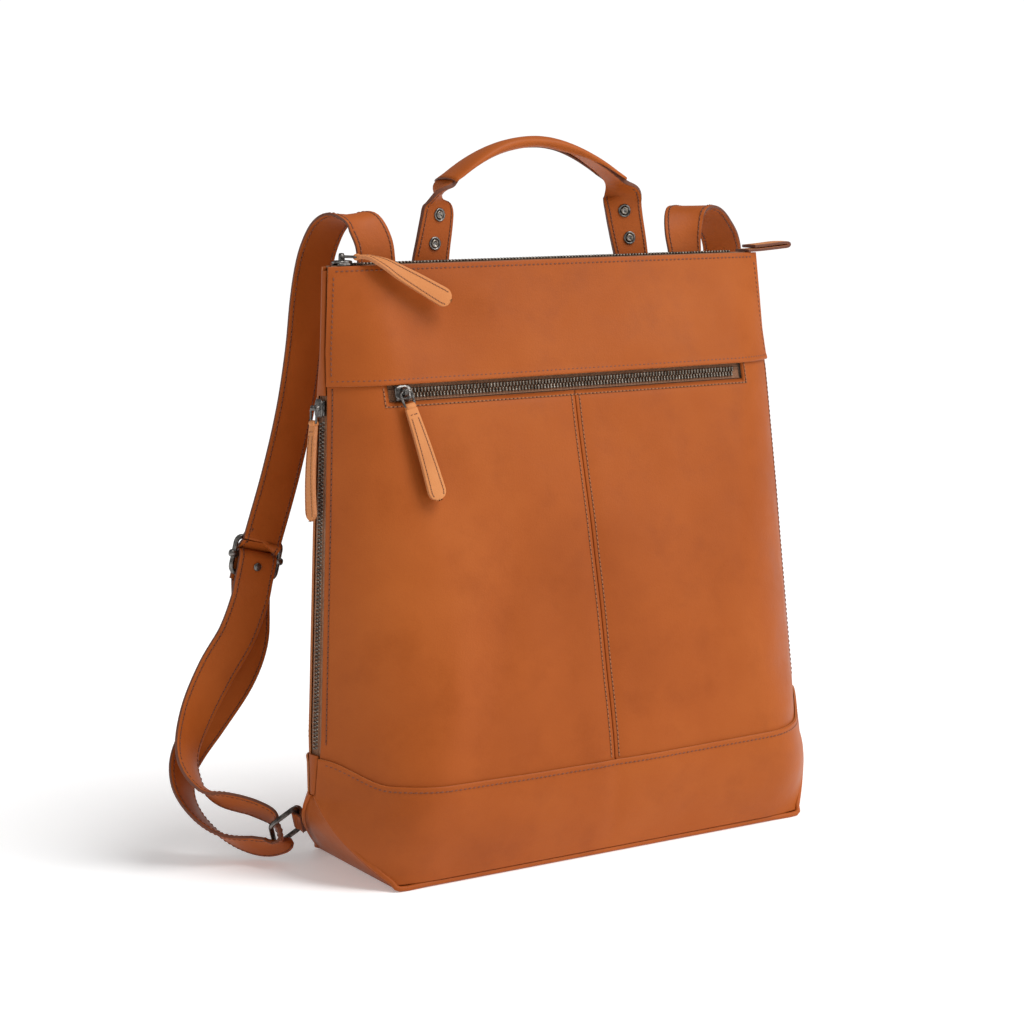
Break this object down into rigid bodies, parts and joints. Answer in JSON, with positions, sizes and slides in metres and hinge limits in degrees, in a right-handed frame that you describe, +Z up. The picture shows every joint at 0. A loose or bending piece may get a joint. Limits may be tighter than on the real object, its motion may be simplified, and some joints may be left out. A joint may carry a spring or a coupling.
{
  "type": "leather backpack",
  "caption": "Leather tote-shaped backpack with a zipped top, zipped front pocket and side zip, a rolled grab handle and adjustable shoulder straps.",
  "frame": {"origin": "centre of the flat base, on the ground", "axes": "+Z up, -Y the front with the zipped pocket, +X to the right seen from the front"},
  "size_m": [0.4988, 0.1683, 0.484],
  "materials": {
    "leather": "smooth cognac leather, satin",
    "dark_leather": "darker base leather, matte",
    "pale_leather": "lighter tan leather with raw edges, satin",
    "gunmetal": "dark antique nickel, satin",
    "zip_metal": "antique silver zip teeth",
    "zip_tape": "brown woven tape",
    "lining": "woven cotton lining",
    "board": "stiff base board",
    "thread": "brown waxed thread"
  },
  "bodies": {
    "root": {"front_yoke": "leather", "front_panel_left": "leather", "front_panel_right": "leather", "front_base_band": "leather", "back_panel": "leather", "back_base_band": "leather", "strap_patch": "leather", "base_panel": "dark_leather", "front_piping": "leather", "back_piping": "leather", "left_side_strips": "leather", "right_side_strip": "leather", "front_lining": "lining", "back_lining": "lining", "base_board": "board", "pocket_lining": "lining", "laptop_divider": "lining", "top_zip_tape": "zip_tape", "top_zip_teeth": "zip_metal", "top_zip_end_tab": "leather", "front_zip_tape": "zip_tape", "front_zip_teeth": "zip_metal", "side_zip_tape": "zip_tape", "side_zip_teeth": "zip_metal", "handle_anchors": "leather", "left_ring_tab": "leather", "right_ring_tab": "leather"},
    "top_slider": {"top_zip_slider": "gunmetal"},
    "top_pull": {"top_zip_link": "gunmetal", "top_zip_pull": "pale_leather"},
    "front_slider": {"front_zip_slider": "gunmetal"},
    "front_pull": {"front_zip_link": "gunmetal", "front_zip_pull": "pale_leather"},
    "side_slider": {"side_zip_slider": "gunmetal"},
    "side_pull": {"side_zip_link": "gunmetal", "side_zip_pull": "pale_leather"},
    "handle": {"handle_grip": "leather", "handle_core": "leather", "handle_leg_left": "leather", "handle_leg_right": "leather", "handle_studs": "gunmetal"},
    "left_strap": {"left_strap_upper": "leather", "left_strap_lower": "leather"},
    "left_adjuster": {"left_buckle": "gunmetal", "left_strap_rivet": "gunmetal"},
    "left_ring": {"left_ring": "gunmetal"},
    "right_strap": {"right_strap_upper": "leather", "right_strap_lower": "leather"},
    "right_adjuster": {"right_buckle": "gunmetal", "right_strap_rivet": "gunmetal"},
    "right_ring": {"right_ring": "gunmetal"}
  },
  "joints": [
    {"name": "top_zip_slide", "type": "slide", "parent": "root", "child": "top_slider", "axis": [1, 0, 0], "range_m": [0, 0.27]},
    {"name": "top_pull_swing", "type": "hinge", "parent": "top_slider", "child": "top_pull", "pos_m": [-0.158, 0.007, 0.4069], "axis": [-0.5736, -0.8192, 0], "range_deg": [0, 110]},
    {"name": "front_zip_slide", "type": "slide", "parent": "root", "child": "front_slider", "axis": [1, 0, 0], "range_m": [0, 0.245]},
    {"name": "front_pull_swing", "type": "hinge", "parent": "front_slider", "child": "front_pull", "pos_m": [-0.131, -0.02624, 0.32], "axis": [-0.9816, -0.0433, -0.1858], "range_deg": [0, 120]},
    {"name": "side_zip_slide", "type": "slide", "parent": "root", "child": "side_slider", "axis": [-0.071, -0.0348, -0.9969], "range_m": [0, 0.2]},
    {"name": "side_pull_swing", "type": "hinge", "parent": "side_slider", "child": "side_pull", "pos_m": [-0.1823, 0.00386, 0.31038], "axis": [-0.0025, 0.9994, -0.0348], "range_deg": [0, 120]},
    {"name": "handle_fold", "type": "hinge", "parent": "root", "child": "handle", "pos_m": [0, 0.026, 0.402], "axis": [-1, 0, 0], "range_deg": [-20, 115]},
    {"name": "left_strap_swing", "type": "hinge", "parent": "root", "child": "left_strap", "pos_m": [-0.186, 0.038, 0.031], "axis": [0.1655, -0.0454, 0.9852], "range_deg": [-60, 30], "deforming": ["left_strap_upper", "left_strap_lower"]},
    {"name": "left_buckle_slide", "type": "slide", "parent": "left_strap", "child": "left_adjuster", "axis": [0.2588, 0, 0.9659], "range_m": [0, 0.06]},
    {"name": "left_ring_swing", "type": "hinge", "parent": "root", "child": "left_ring", "pos_m": [-0.186, 0.038, 0.031], "axis": [0.3918, 0.6581, -0.643], "range_deg": [-12, 12]},
    {"name": "right_strap_swing", "type": "hinge", "parent": "root", "child": "right_strap", "pos_m": [0.186, 0.038, 0.031], "axis": [-0.1655, -0.0454, 0.9852], "range_deg": [-60, 40], "deforming": ["right_strap_upper", "right_strap_lower"]},
    {"name": "right_buckle_slide", "type": "slide", "parent": "right_strap", "child": "right_adjuster", "axis": [0, 0, 1], "range_m": [0, 0.06]},
    {"name": "right_ring_swing", "type": "hinge", "parent": "root", "child": "right_ring", "pos_m": [0.186, 0.038, 0.031], "axis": [-0.3918, 0.6581, -0.643], "range_deg": [-12, 12]}
  ]
}
